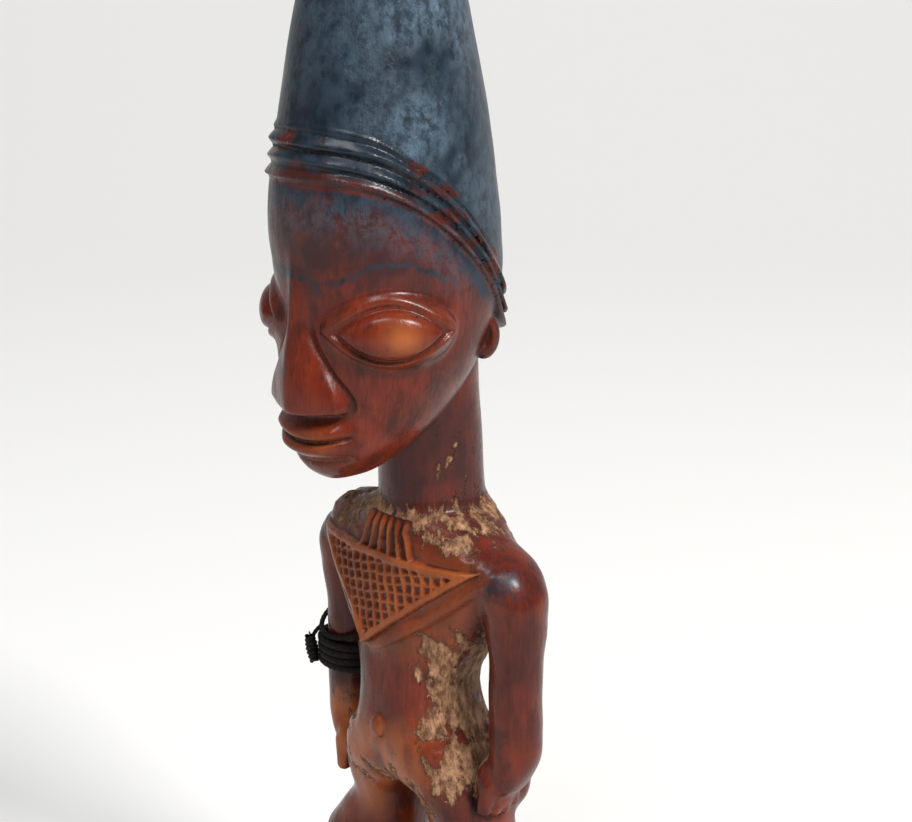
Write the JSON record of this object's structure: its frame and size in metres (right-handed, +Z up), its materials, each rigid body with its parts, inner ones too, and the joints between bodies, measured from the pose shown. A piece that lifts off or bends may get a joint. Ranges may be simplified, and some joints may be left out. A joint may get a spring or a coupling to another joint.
{
  "type": "fertility doll",
  "caption": "Carved wooden twin figure on a round base, with a tall pointed cap of hair, a chest amulet and a cord band wound round its right arm",
  "frame": {"origin": "on the underside of the base, under the neck and between the arms", "axes": "+Z up, the figure faces -Y, its left arm is on +X"},
  "size_m": [0.0749, 0.0744, 0.3],
  "materials": {
    "carved_wood": "handled, oiled wood with indigo in the hair",
    "blackened_cord": "blackened twisted cord"
  },
  "bodies": {
    "figure": {"carved_figure": "carved_wood"},
    "band": {"armband_winding": "blackened_cord"},
    "loose_loop": {"armband_loose_loop": "blackened_cord"}
  },
  "joints": [
    {"name": "armband_slide", "type": "slide", "parent": "figure", "child": "band", "axis": [0, 0, 1], "range_m": [0, 0.005]},
    {"name": "loose_loop_turn", "type": "hinge", "parent": "band", "child": "loose_loop", "pos_m": [-0.0292, 0, 0.1001], "axis": [0, 0, 1], "range_deg": [-20, 20]}
  ]
}
